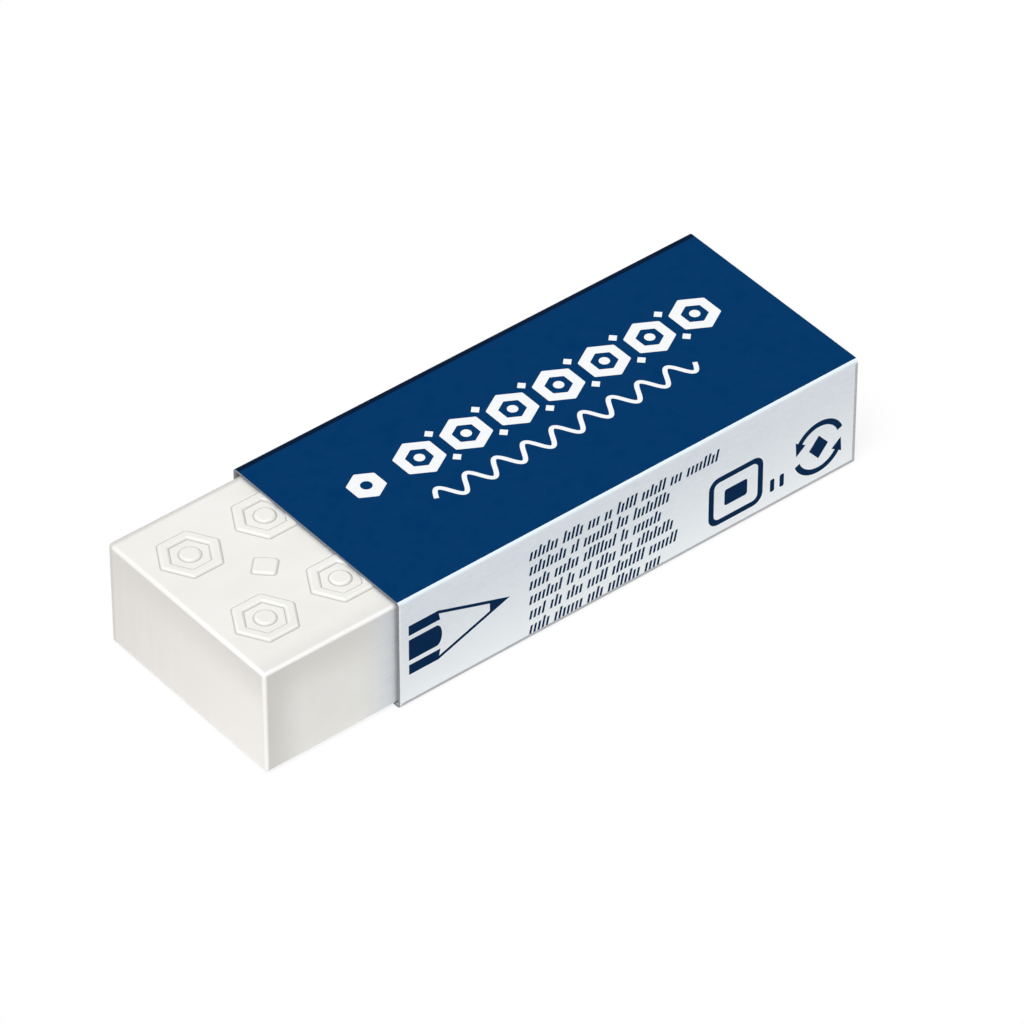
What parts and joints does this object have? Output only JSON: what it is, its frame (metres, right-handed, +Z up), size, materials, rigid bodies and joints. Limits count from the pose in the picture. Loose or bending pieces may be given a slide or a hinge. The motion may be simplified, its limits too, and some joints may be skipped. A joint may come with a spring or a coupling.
{
  "type": "rubber eraser",
  "caption": "White vinyl eraser block with a raised repeat on its top face, sliding in an open folded card sleeve printed blue and pale grey.",
  "frame": {"origin": "under the middle of the object, on the surface that the sleeve lies on", "axes": "+X towards the covered end, away from the bare working end; +Z up through the broad top face; -Y towards the printed long side, and the sleeve's glued seam is on +Y"},
  "size_m": [0.065, 0.0228, 0.0119],
  "materials": {
    "white_vinyl": "satin",
    "printed_card": "matte"
  },
  "bodies": {
    "card_sleeve": {"sleeve": "printed_card"},
    "block": {"eraser_block": "white_vinyl"}
  },
  "joints": [
    {"name": "block_slide", "type": "slide", "parent": "card_sleeve", "child": "block", "axis": [1, 0, 0], "range_m": [-0.0515, 0.0139]}
  ]
}
